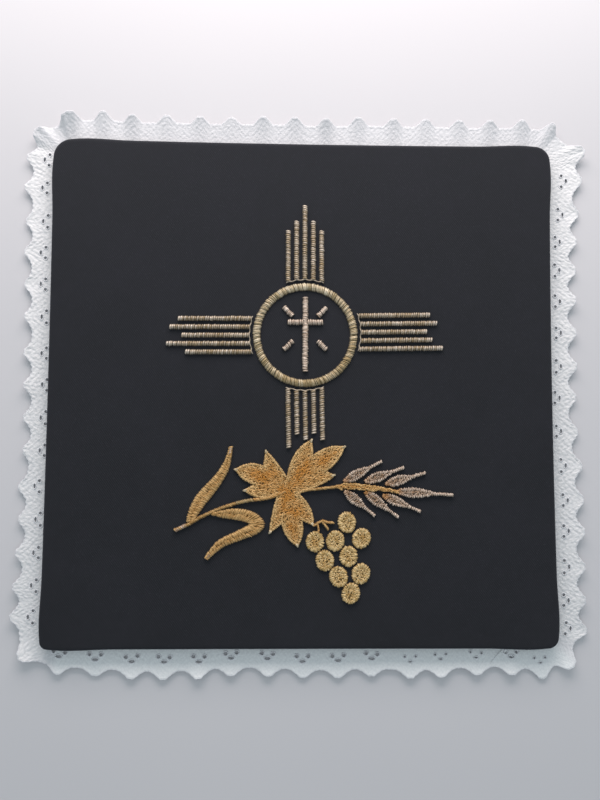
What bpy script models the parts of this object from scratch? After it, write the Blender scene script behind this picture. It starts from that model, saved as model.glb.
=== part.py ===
"""Chalice pall: a stiff square case of black cloth with a scalloped lace edging and raised gold embroidery.

Metres, +Z up. The origin lies under the middle of the case, on the surface that it rests on, and +Y points
to the top of the embroidery. Tables and outlines are in millimetres and are turned into metres by MM.
"""
import math

import bmesh
import bpy
from mathutils import Vector

MM = 0.001
SMOOTH_ANGLE = math.radians(50)

# Case: cloth drawn round a stiff square board
CASE_HALF = 80.0
CASE_TOP = 4.2
RIM_UNDERSIDE = 1.5
RIM_ROLL = 1.2
UNDERSIDE_CORNER_CENTRE = 73.5
UNDERSIDE_CORNER_RADIUS = 4.0
UNDERSIDE_ROLL = 0.2
CORNER_STEPS = 6
SIDE_STEPS = 8

# Columns: corner's side in x and y, its radius, and how far the side after it, anticlockwise, bows inward
CASE_CORNERS = (
    (1, 1, 5.0, 0.5),
    (-1, 1, 6.0, 0.35),
    (-1, -1, 2.5, 0.1),
    (1, -1, 3.5, 0.7),
)

# Lace edging: its heading lies under the rim, and its scallops curl up a little from the surface
LACE_THICKNESS = 1.0
LACE_HEADING_RADIUS = 4.5
LACE_HEADING_HEIGHT = 0.58
SCALLOP_DEPTH = 2.9
TOOTH_WIDTH = 1.7
VALLEY_LIFT = 0.45
TIP_LIFT = 1.3

# Slow waves that keep the strip uneven: how far, and the turn in radians for each scallop
REACH_WAVE = (0.35, 2.3)
PLACE_WAVE = (0.4, 1.7)
LIFT_WAVE = (0.35, 0.9)
LIFT_RIPPLE = (0.25, 2.9)
VALLEY_WAVE = (0.2, 0.55)

# Columns: side's outward direction, scallops, first and last tip along the side (clockwise from its start),
# and the tips' distance out at the first, the middle and the last
LACE_SIDES = (
    ("top", 16, -76.4, 82.3, 89.4, 89.4, 89.0),
    ("right", 15, -69.6, 75.3, 91.0, 88.6, 90.1),
    ("bottom", 15, -75.7, 75.2, 89.8, 89.0, 88.3),
    ("left", 15, -70.9, 74.8, 90.0, 88.1, 88.6),
)

# Columns: x and y of the corner scallop's tip, depth of the valleys before and after it, height of its curl
LACE_CORNERS = {
    "top": (-86.3, 83.4, 1.6, 0.8, 2.6),
    "right": (91.6, 80.4, 2.2, 2.0, 2.2),
    "bottom": (84.8, -86.9, 2.0, 2.4, 1.6),
    "left": (-86.4, -83.2, 0.9, 0.7, 1.8),
}

# Embroidery: padded satin stitch that stands just clear of the cloth
PAD_CLEARANCE = 0.3
PAD_HEIGHT = 0.6
PAD_CHAMFER = 0.2
RING_CENTRE = (0.6, 17.3)
RING_OUTER = 16.4
RING_INNER = 14.0
BAR_WIDTH = 1.3
BAR_PITCH = 2.65
BAR_FOOT_RADIUS = 17.8

# Columns: arm, direction in degrees, shift across it, reach of its five bars from the ring's centre
ARMS = (
    ("top", 90.2, 0.1, (33.4, 36.5, 41.5, 36.5, 33.5)),
    ("left", 180.5, 0.1, (40.0, 42.6, 38.8, 43.5, 37.6)),
    ("bottom", 271.2, -0.4, (35.5, 31.3, 33.0, 31.2, 33.2)),
    ("right", 1.2, 0.6, (43.4, 40.2, 38.6, 41.8, 39.6)),
)

CROSS_STROKE = 1.5
CROSS_TOP = 12.0
CROSS_FOOT = -11.6
CROSS_BAR_HEIGHT = 4.0
CROSS_BAR_HALF = 5.6
RAY_WIDTH = 1.2
RAY_START = 5.6
RAY_END = 9.6

LEAF_HEART = (-4.8, -31.2)
SIDE_POINT_REACH = 0.77
NOTCH_REACH = 0.6
NOTCH_SPREAD = 0.6
POINT_REACH = 0.84
POINT_SPREAD = 0.44
LOBE_BULGE = 0.58
BULGE_AFTER = 20.0
BULGE_BEFORE = 8.0
CROTCH_REACH = 4.0

# Columns: direction of the lobe's point in degrees, its length, spread of the side points after it and before
# it, and the reach of the one before as a share of the length
LEAF_LOBES = (
    (37.0, 22.5, 27.0, 20.0, 0.69),
    (159.0, 17.5, 22.0, 40.0, 0.79),
    (281.0, 17.8, 26.0, 33.0, 0.81),
)

STEM_WIDTH = 1.0
TENDRIL_WIDTH = 0.7
STEM_ROUTE = ((-39.6, -44.0), (-34.0, -40.6), (-27.8, -37.6), (-21.0, -35.3), (-15.2, -34.2))
STALK_ROUTE = ((5.5, -30.6), (12.0, -29.9), (20.5, -30.1), (26.0, -31.0))
TENDRIL_ROUTE = ((4.3, -42.6), (5.0, -40.8), (6.8, -41.3), (9.6, -41.4))

BLADE_WIDTH = 3.6
BLADE_TIP = 1.0
UPPER_FULLEST = 0.42
UPPER_ROUTE = ((-35.2, -39.8), (-33.0, -35.6), (-27.6, -28.4), (-23.3, -22.2), (-22.2, -18.4))
LOWER_FULLEST = 0.5
LOWER_ROUTE = (
    (-26.0, -39.4), (-20.5, -38.3), (-15.6, -39.4), (-14.0, -42.4),
    (-17.5, -45.8), (-24.0, -48.8), (-29.3, -52.3),
)

GRAIN_WIDTH = 3.2
GRAIN_FULLEST = 0.45
GRAIN_SHARE = 0.68
GRAIN_STEPS = 7

# Columns: x and y of the grain's root, direction in degrees, length with its awn
GRAINS = (
    (12.8, -28.6, 28.0, 13.5),
    (19.4, -28.7, 20.5, 13.0),
    (25.8, -29.4, 16.0, 13.0),
    (29.0, -31.7, -3.0, 18.0),
    (24.9, -32.8, -23.0, 12.8),
    (19.3, -31.7, -37.0, 13.2),
    (13.0, -31.5, -39.0, 12.2),
)

GRAPE_WIDTH = 5.5
GRAPE_LENGTH = 6.3

# Columns: x and y of the grape's centre, and its slant in degrees
GRAPES = (
    (13.8, -41.2, 10),
    (18.3, -46.1, -25),
    (10.2, -46.9, -10),
    (3.9, -47.1, 0),
    (14.3, -51.6, 0),
    (7.0, -52.9, 10),
    (11.2, -57.8, 20),
    (18.1, -56.9, -20),
    (15.0, -62.8, -15),
)


def clear_scene():
    for item in list(bpy.data.objects):
        bpy.data.objects.remove(item, do_unlink=True)


def new_collection(name):
    collection = bpy.data.collections.new(name)
    bpy.context.scene.collection.children.link(collection)
    return collection


def make_material(name, colour, roughness, metallic):
    material = bpy.data.materials.new(name)
    material.use_nodes = True
    shader = material.node_tree.nodes["Principled BSDF"]
    shader.inputs["Base Color"].default_value = (*colour, 1.0)
    shader.inputs["Roughness"].default_value = roughness
    shader.inputs["Metallic"].default_value = metallic
    return material


def add_object(name, mesh, material, collection):
    item = bpy.data.objects.new(name, mesh)
    collection.objects.link(item)
    mesh.materials.clear()
    mesh.materials.append(material)
    mesh.shade_smooth()
    mesh.set_sharp_from_angle(angle=SMOOTH_ANGLE)
    return item


def mesh_from_bmesh(body, name):
    mesh = bpy.data.meshes.new(name)
    body.to_mesh(mesh)
    body.free()
    return mesh


def polar(centre, angle, radius):
    return Vector((centre[0] + radius * math.cos(angle), centre[1] + radius * math.sin(angle)))


def wave(shape, place):
    height, turn = shape
    return height * math.sin(turn * place)


def smooth_route(points, steps):
    """Catmull-Rom curve through the route's points, with a number of steps between neighbours."""
    knots = [Vector(point) for point in points]
    knots = [2 * knots[0] - knots[1]] + knots + [2 * knots[-1] - knots[-2]]
    route = []
    for a, b, c, d in zip(knots, knots[1:], knots[2:], knots[3:]):
        for step in range(steps):
            t = step / steps
            route.append(0.5 * (2 * b + (c - a) * t + (2 * a - 5 * b + 4 * c - d) * t ** 2
                                + (3 * b - a - 3 * c + d) * t ** 3))
    return route + [knots[-2]]


def mesh_from_curve(curve, name):
    """Turns a curve into one closed mesh with its caps welded on."""
    holder = bpy.data.objects.new(name, curve)
    bpy.context.scene.collection.objects.link(holder)
    evaluated = holder.evaluated_get(bpy.context.evaluated_depsgraph_get())
    mesh = bpy.data.meshes.new_from_object(evaluated)
    bpy.data.objects.remove(holder, do_unlink=True)
    bpy.data.curves.remove(curve)
    body = bmesh.new()
    body.from_mesh(mesh)
    bmesh.ops.remove_doubles(body, verts=body.verts, dist=0.01 * MM)
    bmesh.ops.recalc_face_normals(body, faces=body.faces)
    body.to_mesh(mesh)
    body.free()
    return mesh


def slab_mesh(name, outline, bottom, top, roll, roll_steps):
    """A flat piece cut to an outline, with its edges rolled over above and below."""
    curve = bpy.data.curves.new(name, "CURVE")
    curve.dimensions = "2D"
    curve.fill_mode = "BOTH"
    curve.extrude = ((top - bottom) / 2 - roll) * MM
    curve.bevel_depth = roll * MM
    curve.bevel_resolution = roll_steps
    curve.offset = -roll * MM
    spline = curve.splines.new("POLY")
    spline.points.add(len(outline) - 1)
    for point, (x, y) in zip(spline.points, outline):
        point.co = (x * MM, y * MM, 0, 1)
    spline.use_cyclic_u = True
    mesh = mesh_from_curve(curve, name)
    for vertex in mesh.vertices:
        vertex.co.z += (top + bottom) / 2 * MM
    return mesh


def corner_arc(centre, start, radius):
    turns = [math.pi / 2 * step / CORNER_STEPS for step in range(CORNER_STEPS + 1)]
    return [polar(centre, start + turn, radius) for turn in turns]


def case_outline():
    """The case seen from above: four corners of their own roundness and sides that bow inward a little."""
    arcs = []
    for side_x, side_y, radius, bow in CASE_CORNERS:
        centre = (side_x * (CASE_HALF - radius), side_y * (CASE_HALF - radius))
        start = math.atan2(side_y, side_x) - math.pi / 4
        arcs.append(corner_arc(centre, start, radius))
    outline = []
    for index, (arc, corner) in enumerate(zip(arcs, CASE_CORNERS)):
        outline += arc
        start, end = arc[-1], arcs[(index + 1) % 4][0]
        inward = (end - start).orthogonal().normalized()
        for step in range(1, SIDE_STEPS):
            t = step / SIDE_STEPS
            outline.append(start.lerp(end, t) + inward * corner[3] * 4 * t * (1 - t))
    return outline


def underside_outline():
    outline = []
    for side_x, side_y, _, _ in CASE_CORNERS:
        centre = (side_x * UNDERSIDE_CORNER_CENTRE, side_y * UNDERSIDE_CORNER_CENTRE)
        start = math.atan2(side_y, side_x) - math.pi / 4
        outline += corner_arc(centre, start, UNDERSIDE_CORNER_RADIUS)
    return outline


def build_cover(parts, cutters, material):
    """The case: a rim of cloth rolled round the board, and the flat underside inside the lace's heading."""
    rim = slab_mesh("cover", case_outline(), RIM_UNDERSIDE, CASE_TOP, RIM_ROLL, 2)
    panel_top = RIM_UNDERSIDE + RIM_ROLL
    panel = slab_mesh("underside_panel", underside_outline(), 0.0, panel_top, UNDERSIDE_ROLL, 0)
    cover = add_object("cover", rim, material, parts)
    joined = add_object("underside_panel", panel, material, cutters)
    joined.hide_render = True
    joined.display_type = "WIRE"
    union = cover.modifiers.new("underside", "BOOLEAN")
    union.operation = "UNION"
    union.object = joined
    return cover


def lace_tips():
    """Every scallop's tip, clockwise from the top left corner: its place, its valleys' depths, its lift."""
    outward = {"top": (0, 1), "right": (1, 0), "bottom": (0, -1), "left": (-1, 0)}
    tips = []
    for side, count, first, last, out_first, out_middle, out_last in LACE_SIDES:
        x, y, depth_before, depth_after, curl = LACE_CORNERS[side]
        tips.append((Vector((x, y)), depth_before, depth_after, curl))
        out = Vector(outward[side])
        along = Vector((out.y, -out.x))
        for index in range(count):
            t = index / (count - 1)
            number = len(tips)
            reach = out_middle + wave(REACH_WAVE, number)
            reach += (out_first - out_middle) * (1 - t) ** 4 + (out_last - out_middle) * t ** 4
            place = first + (last - first) * t + wave(PLACE_WAVE, number)
            lift = TIP_LIFT + wave(LIFT_WAVE, number) + wave(LIFT_RIPPLE, number)
            tips.append((along * place + out * reach, SCALLOP_DEPTH, SCALLOP_DEPTH, lift))
    return tips


def heading_point(point):
    """The nearest place on the lace's heading, under the case's rim."""
    limit = UNDERSIDE_CORNER_CENTRE
    core = Vector((max(-limit, min(limit, point.x)), max(-limit, min(limit, point.y))))
    return core + (point - core).normalized() * LACE_HEADING_RADIUS


def lace_point(tips, place, across):
    """A point of the strip: place counts the scallops, across runs from the heading, 0, to the edge, 1."""
    index = int(math.floor(place)) % len(tips)
    t = place - math.floor(place)
    tip_a, _, depth_a, lift_a = tips[index]
    tip_b, depth_b, _, lift_b = tips[(index + 1) % len(tips)]
    chord = tip_a.lerp(tip_b, t)
    outward = (chord - heading_point(chord)).normalized()
    rise = (1 - math.cos(math.pi * abs(2 * t - 1) ** TOOTH_WIDTH)) / 2
    edge = chord - outward * (depth_a + depth_b) / 2 * (1 - rise)
    lift = VALLEY_LIFT + wave(VALLEY_WAVE, place)
    lift += (lift_a + (lift_b - lift_a) * t - lift) * rise
    start = heading_point(edge)
    spot = start.lerp(edge, across)
    return Vector((spot.x, spot.y, LACE_HEADING_HEIGHT + lift * across ** 3))


def build_lace(parts, material):
    """The edging: one strip bent round the case, a thin sheet with its two ends closed into a ring."""
    tips = lace_tips()
    columns_per_scallop = (0.0, 0.075, 0.175, 0.325, 0.5, 0.675, 0.825, 0.925)
    places = [index + share for index in range(len(tips)) for share in columns_per_scallop]
    rows = (0.0, 0.45, 1.0)
    strip = bmesh.new()
    bmesh.ops.create_grid(strip, x_segments=len(places), y_segments=len(rows) - 1, size=1.0)
    for vertex in strip.verts:
        column = round((vertex.co.x + 1) / 2 * len(places)) % len(places)
        row = round((vertex.co.y + 1) / 2 * (len(rows) - 1))
        vertex.co = lace_point(tips, places[column], rows[row]) * MM
    bmesh.ops.remove_doubles(strip, verts=strip.verts, dist=0.001 * MM)
    lace = add_object("lace_edging", mesh_from_bmesh(strip, "lace_edging"), material, parts)
    sheet = lace.modifiers.new("thickness", "SOLIDIFY")
    sheet.thickness = LACE_THICKNESS * MM
    sheet.offset = 0.0
    return lace


def pad(name, outline, parts, material):
    """A padded satin shape with the given outline, in millimetres, just above the cloth."""
    bottom = CASE_TOP + PAD_CLEARANCE
    mesh = slab_mesh(name, outline, bottom, bottom + PAD_HEIGHT, PAD_CHAMFER, 0)
    return add_object(name, mesh, material, parts)


def pad_middle():
    return (CASE_TOP + PAD_CLEARANCE + PAD_HEIGHT / 2) * MM


def bar(name, start, end, width, parts, material):
    """A straight satin bar: a round bar pressed flat."""
    run = Vector(end) - Vector(start)
    body = bmesh.new()
    bmesh.ops.create_cone(body, cap_ends=True, segments=8, radius1=0.5, radius2=0.5, depth=1.0)
    for vertex in body.verts:
        x, y, z = vertex.co
        vertex.co = (z * run.length * MM, x * width * MM, y * PAD_HEIGHT * MM)
    bmesh.ops.recalc_face_normals(body, faces=body.faces)
    item = add_object(name, mesh_from_bmesh(body, name), material, parts)
    middle = (Vector(start) + Vector(end)) / 2
    item.location = (middle.x * MM, middle.y * MM, pad_middle())
    item.rotation_euler.z = math.atan2(run.y, run.x)
    return item


def cord(name, route, width, parts, material):
    """A corded line of stitches: a thin round tube along its route."""
    curve = bpy.data.curves.new(name, "CURVE")
    curve.dimensions = "3D"
    curve.bevel_depth = width / 2 * MM
    curve.bevel_resolution = 1
    curve.use_fill_caps = True
    points = smooth_route(route, 3)
    spline = curve.splines.new("POLY")
    spline.points.add(len(points) - 1)
    height = CASE_TOP + PAD_CLEARANCE + width / 2
    for point, (x, y) in zip(spline.points, points):
        point.co = (x * MM, y * MM, height * MM, 1)
    return add_object(name, mesh_from_curve(curve, name), material, parts)


def blade_outline(route, width, fullest, share):
    """A blade along a route: it swells and narrows over a share of its length, then runs on thin."""
    count = len(route) - 1
    left, right = [], []
    for index, point in enumerate(route):
        ahead = route[min(index + 1, count)] - route[max(index - 1, 0)]
        side = ahead.orthogonal().normalized()
        t = min(index / count / share, 1.0)
        swell = math.sin(math.pi * t ** (math.log(0.5) / math.log(fullest)))
        half = (BLADE_TIP + (width - BLADE_TIP) * swell) / 2
        left.append(point + side * half)
        right.append(point - side * half)
    return left + right[::-1]


def build_ring(parts, material):
    """The raised ring: a torus pressed flat."""
    tube = (RING_OUTER - RING_INNER) / 2
    bpy.ops.mesh.primitive_torus_add(major_segments=40, minor_segments=6,
                                     major_radius=(RING_OUTER - tube) * MM, minor_radius=tube * MM)
    blank = bpy.context.object
    mesh = blank.data
    bpy.data.objects.remove(blank, do_unlink=True)
    for vertex in mesh.vertices:
        vertex.co.z *= PAD_HEIGHT / 2 / tube
    ring = add_object("ring", mesh, material, parts)
    ring.location = (RING_CENTRE[0] * MM, RING_CENTRE[1] * MM, pad_middle())


def build_arms(parts, material):
    """Five bars on each side of the ring, their feet following it and their tips stepped."""
    for name, angle, shift, reaches in ARMS:
        out = polar((0, 0), math.radians(angle), 1.0)
        side = Vector((-out.y, out.x))
        for index, reach in enumerate(reaches):
            offset = (index - 2) * BAR_PITCH
            base = Vector(RING_CENTRE) + side * (offset + shift)
            foot = math.sqrt(BAR_FOOT_RADIUS ** 2 - offset ** 2)
            bar(f"bar_{name}_{index + 1}", base + out * foot, base + out * reach, BAR_WIDTH, parts, material)


def build_cross(parts, material):
    """The plain cross in the ring, cut as one outline, and a short ray in each of its corners."""
    half = CROSS_STROKE / 2
    arm = CROSS_BAR_HEIGHT
    quarter = [(half, CROSS_TOP), (half, arm + half), (CROSS_BAR_HALF, arm + half),
               (CROSS_BAR_HALF, arm - half), (half, arm - half), (half, CROSS_FOOT)]
    outline = quarter + [(-x, y) for x, y in reversed(quarter)]
    pad("cross", [(x + RING_CENTRE[0], y + RING_CENTRE[1]) for x, y in outline], parts, material)
    middle = (RING_CENTRE[0], RING_CENTRE[1] + arm / 2)
    for index in range(4):
        angle = math.pi / 4 + index * math.pi / 2
        bar(f"ray_{index + 1}", polar(middle, angle, RAY_START), polar(middle, angle, RAY_END),
            RAY_WIDTH, parts, material)


def curved_edge(start, control, end, steps):
    """Points of a quadratic curve, without its last one."""
    points = []
    for step in range(steps):
        t = step / steps
        points.append(start * (1 - t) ** 2 + control * 2 * t * (1 - t) + end * t ** 2)
    return points


def lobe_spot(lobe, turn, reach):
    """A place on a lobe: turned from its direction, at a share of its length from the heart."""
    direction, length = lobe[:2]
    return polar(LEAF_HEART, math.radians(direction + turn), length * reach)


def leaf_outline():
    """Three lobes round the heart, each with a long point and two side points, drawn with full edges."""
    outline = []
    for lobe, next_lobe in zip(LEAF_LOBES, LEAF_LOBES[1:] + LEAF_LOBES[:1]):
        direction, _, after, before, reach_before = lobe
        next_direction, _, _, next_before, next_reach = next_lobe
        notch_before = lobe_spot(lobe, -NOTCH_SPREAD * before, NOTCH_REACH)
        edge_before = lobe_spot(lobe, -POINT_SPREAD * before, POINT_REACH)
        point = lobe_spot(lobe, 0, 1.0)
        edge_after = lobe_spot(lobe, POINT_SPREAD * after, POINT_REACH)
        notch_after = lobe_spot(lobe, NOTCH_SPREAD * after, NOTCH_REACH)
        side_after = lobe_spot(lobe, after, SIDE_POINT_REACH)
        bulge_after = lobe_spot(lobe, after + BULGE_AFTER, LOBE_BULGE)
        gap = (next_direction - direction) % 360 - after - next_before
        crotch = polar(LEAF_HEART, math.radians(direction + after + gap / 2), CROTCH_REACH)
        next_bulge = lobe_spot(next_lobe, -next_before - BULGE_BEFORE, LOBE_BULGE)
        next_side = lobe_spot(next_lobe, -next_before, next_reach)
        outline.append(lobe_spot(lobe, -before, reach_before))
        outline += curved_edge(notch_before, edge_before, point, 3)
        outline += curved_edge(point, edge_after, notch_after, 3)
        outline.append(notch_after)
        outline += curved_edge(side_after, bulge_after, crotch, 4)
        outline += curved_edge(crotch, next_bulge, next_side, 4)
    return outline


def build_grain(name, root, angle, length, parts, material):
    route = [polar(root, angle, length * step / GRAIN_STEPS) for step in range(GRAIN_STEPS + 1)]
    pad(name, blade_outline(route, GRAIN_WIDTH, GRAIN_FULLEST, GRAIN_SHARE), parts, material)


def build_grape(name, centre, slant, parts, material):
    """An egg-shaped cushion of stitches, pressed flat."""
    body = bmesh.new()
    bmesh.ops.create_uvsphere(body, u_segments=12, v_segments=6, radius=0.5)
    for vertex in body.verts:
        x, y, z = vertex.co
        vertex.co = (x * GRAPE_WIDTH * MM, y * GRAPE_LENGTH * MM, z * PAD_HEIGHT * MM)
    grape = add_object(name, mesh_from_bmesh(body, name), material, parts)
    grape.location = (centre[0] * MM, centre[1] * MM, pad_middle())
    grape.rotation_euler.z = slant


def build_sprig(parts, gold, silver, straw):
    """The vine leaf on its stem, the two blades, the ear of wheat and the bunch of grapes."""
    pad("leaf", leaf_outline(), parts, gold)
    cord("stem", STEM_ROUTE, STEM_WIDTH, parts, gold)
    cord("stalk", STALK_ROUTE, STEM_WIDTH, parts, gold)
    cord("tendril", TENDRIL_ROUTE, TENDRIL_WIDTH, parts, gold)
    upper = smooth_route(UPPER_ROUTE, 3)
    lower = smooth_route(LOWER_ROUTE, 3)
    pad("blade_upper", blade_outline(upper, BLADE_WIDTH, UPPER_FULLEST, 1.0), parts, gold)
    pad("blade_lower", blade_outline(lower, BLADE_WIDTH, LOWER_FULLEST, 1.0), parts, gold)
    for index, (x, y, angle, length) in enumerate(GRAINS):
        build_grain(f"grain_{index + 1}", (x, y), math.radians(angle), length, parts, silver)
    for index, (x, y, slant) in enumerate(GRAPES):
        build_grape(f"grape_{index + 1}", (x, y), math.radians(slant), parts, straw)


clear_scene()
pall = new_collection("chalice_pall")
joining = new_collection("cutters")
black_cloth = make_material("black_cloth", (0.017, 0.018, 0.022), 0.85, 0.0)
white_lace = make_material("white_lace", (0.80, 0.80, 0.80), 0.9, 0.0)
pale_gold = make_material("pale_gold_thread", (0.42, 0.34, 0.22), 0.45, 0.6)
warm_gold = make_material("warm_gold_thread", (0.52, 0.29, 0.09), 0.45, 0.5)
straw_gold = make_material("straw_gold_thread", (0.55, 0.38, 0.13), 0.45, 0.5)
rose_silver = make_material("rose_silver_thread", (0.45, 0.34, 0.27), 0.45, 0.6)

build_cover(pall, joining, black_cloth)
build_lace(pall, white_lace)
build_ring(pall, pale_gold)
build_arms(pall, pale_gold)
build_cross(pall, rose_silver)
build_sprig(pall, warm_gold, rose_silver, straw_gold)
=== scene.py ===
import math

import bmesh
import bpy
import numpy as np
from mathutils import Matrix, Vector


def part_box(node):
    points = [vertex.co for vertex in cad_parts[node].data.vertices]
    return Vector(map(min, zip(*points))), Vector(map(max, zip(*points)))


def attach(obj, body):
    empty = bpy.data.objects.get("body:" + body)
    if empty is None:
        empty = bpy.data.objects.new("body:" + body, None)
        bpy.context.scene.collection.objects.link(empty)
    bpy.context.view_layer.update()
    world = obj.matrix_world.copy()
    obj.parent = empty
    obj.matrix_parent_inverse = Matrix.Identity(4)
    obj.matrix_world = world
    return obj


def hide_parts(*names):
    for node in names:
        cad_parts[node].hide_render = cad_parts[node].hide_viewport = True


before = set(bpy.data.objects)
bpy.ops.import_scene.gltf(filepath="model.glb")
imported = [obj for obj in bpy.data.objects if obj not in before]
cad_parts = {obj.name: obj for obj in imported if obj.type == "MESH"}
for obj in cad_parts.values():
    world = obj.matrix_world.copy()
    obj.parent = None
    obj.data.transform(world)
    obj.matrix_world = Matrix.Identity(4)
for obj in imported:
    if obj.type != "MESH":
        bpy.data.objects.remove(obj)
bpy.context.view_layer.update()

MM = 0.001

# The case is black twill drawn tight round a stiff square board and rolled over its edges. The cloth has
# fine diagonal ribs and a dusty bloom where the light grazes it, and its top sags a little in slow waves.

TWILL_RIB = 0.55
TWILL_DEPTH = 0.05
CASE_CELL = 1.0
ROLL_STEPS = 5
SAG = 0.03
SHARP_TURN = 0.55


def from_srgb(red, green, blue):
    """A colour as it is seen, 0 to 255, in the linear values that a finish takes."""
    return tuple((value / 255 / 12.92 if value < 10.3 else ((value / 255 + 0.055) / 1.055) ** 2.4)
                 for value in (red, green, blue)) + (1.0,)


class Dye:
    """One socket of a finish. Python's operators on it add the Math nodes."""

    def __init__(self, tree, socket=None):
        self.tree = tree
        self.socket = socket

    def node(self, kind, settings=None, sockets=None, out=0):
        """Adds a node of any kind: its settings first, then the values or links of its sockets."""
        node = self.tree.nodes.new(kind)
        for name, value in (settings or {}).items():
            if name == "stops":
                ramp = node.color_ramp.elements
                while len(ramp) < len(value):
                    ramp.new(1.0)
                for element, (place, colour) in zip(ramp, value):
                    element.position = place
                    element.color = colour
            else:
                setattr(node, name, value)
        for name, value in (sockets or {}).items():
            if isinstance(value, Dye):
                self.tree.links.new(value.socket, node.inputs[name])
            else:
                node.inputs[name].default_value = value
        return Dye(self.tree, node.outputs[out])

    def maths(self, operation, first, second):
        return self.node("ShaderNodeMath", {"operation": operation}, {0: first, 1: second})

    def __add__(self, other):
        return self.maths("ADD", self, other)

    __radd__ = __add__

    def __sub__(self, other):
        return self.maths("SUBTRACT", self, other)

    def __rsub__(self, other):
        return self.maths("SUBTRACT", other, self)

    def __mul__(self, other):
        return self.maths("MULTIPLY", self, other)

    __rmul__ = __mul__

    def wave(self):
        """Turns radians into a wave between 0 and 1."""
        return 0.5 + 0.5 * self.node("ShaderNodeMath", {"operation": "SINE"}, {0: self})

    def held(self, low, high):
        """Spreads low to high over 0 to 1 and holds it there."""
        return self.node("ShaderNodeMapRange", {"clamp": True}, {0: self, 1: low, 2: high})

    def mixed(self, first, second):
        """Blends two colours by this value."""
        return self.node("ShaderNodeMix", {"data_type": "RGBA"}, {0: self, 6: first, 7: second}, 2)


def new_finish(name, **constants):
    """A finish with its Principled shader: constants are set on the shader's own sockets."""
    finish = bpy.data.materials.new(name)
    finish.use_nodes = True
    shader = finish.node_tree.nodes["Principled BSDF"]
    for label, value in constants.items():
        shader.inputs[label.replace("_", " ")].default_value = value
    return finish, Dye(finish.node_tree), shader


def feed(shader, **dyes):
    """Links what varies over the surface to the shader's sockets."""
    for label, dye in dyes.items():
        dye.tree.links.new(dye.socket, shader.inputs[label.replace("_", " ")])


def noise(dye, scale, detail=2.0, place=None):
    """Soft mottling. The scale counts its patches in a metre."""
    sockets = {"Scale": scale, "Detail": detail}
    sockets["Vector"] = place or dye.node("ShaderNodeTexCoord", out=3)
    return dye.node("ShaderNodeTexNoise", sockets=sockets)


def black_twill():
    finish, dye, shader = new_finish("black_twill", Sheen_Weight=0.25, Sheen_Roughness=0.5, Specular_IOR_Level=0.2)
    shader.inputs["Sheen Tint"].default_value = from_srgb(150, 152, 165)
    place = dye.node("ShaderNodeTexCoord", out=3)
    parts = place.node("ShaderNodeSeparateXYZ", sockets={0: place})
    across = parts
    along = Dye(dye.tree, parts.socket.node.outputs[1])
    drift = noise(dye, 900.0)
    turn = 2 * math.pi / (TWILL_RIB * MM)
    ribs = ((across * 0.8 + along * 0.6) * turn + drift * 1.6).wave()
    picks = ((across * 0.6 - along * 0.8) * turn * 1.3).wave()
    patches = (noise(dye, 45.0, 3.0) * 0.6 + noise(dye, 260.0, 2.0) * 0.4).held(0.36, 0.64)
    lint = noise(dye, 2600.0, 1.0).held(0.62, 0.72)
    body = patches.mixed(from_srgb(25, 27, 30), from_srgb(35, 36, 40))
    # Painted highlight: the ribs' crests are painted a lighter bluish grey, as sheen along them.
    body = (ribs * 0.7).mixed(body, from_srgb(45, 46, 51))
    body = (lint * 0.12).mixed(body, from_srgb(96, 98, 104))
    relief = dye.node("ShaderNodeBump", sockets={"Strength": 0.5, "Distance": TWILL_DEPTH * MM,
                                                 "Height": ribs * 0.8 + picks * 0.3})
    feed(shader, Base_Color=body, Roughness=0.82 + patches * 0.1, Normal=relief)
    return finish


def joined_solid(node):
    """A node's solid with its triangles joined at their corners."""
    body = bmesh.new()
    body.from_mesh(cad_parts[node].data)
    bmesh.ops.remove_doubles(body, verts=body.verts, dist=0.001 * MM)
    return body


def widest_runs(node):
    """The runs of edges round a node's widest level, each a list of points in millimetres."""
    body = joined_solid(node)
    levels = {}
    for vertex in body.verts:
        levels.setdefault(round(vertex.co.z / MM, 1), []).append(vertex)
    reach = {level: max(v.co.x for v in ring) - min(v.co.x for v in ring) + max(v.co.y for v in ring)
             - min(v.co.y for v in ring) for level, ring in levels.items()}
    level = max(reach, key=lambda height: (round(reach[height], 5), height))
    ring = set(levels[level])
    links = {vertex: [] for vertex in ring}
    for edge in body.edges:
        if ring.issuperset(edge.verts):
            sides = [face.calc_center_median().z / MM - level for face in edge.link_faces]
            if min(sides) < -0.01 and max(sides) > 0.01:
                links[edge.verts[0]].append(edge.verts[1])
                links[edge.verts[1]].append(edge.verts[0])
    links = {vertex: ends for vertex, ends in links.items() if ends}
    runs = []
    while links:
        run = [min(links, key=lambda vertex: (len(links[vertex]), vertex.index))]
        while links.get(run[-1]):
            ahead = links[run[-1]].pop()
            links[ahead].remove(run[-1])
            run.append(ahead)
        links = {vertex: ends for vertex, ends in links.items() if ends}
        if run[0] == run[-1]:
            run = run[:-1]
        runs.append(np.array([vertex.co.xy[:] for vertex in run]) / MM)
    body.free()
    return runs


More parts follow.
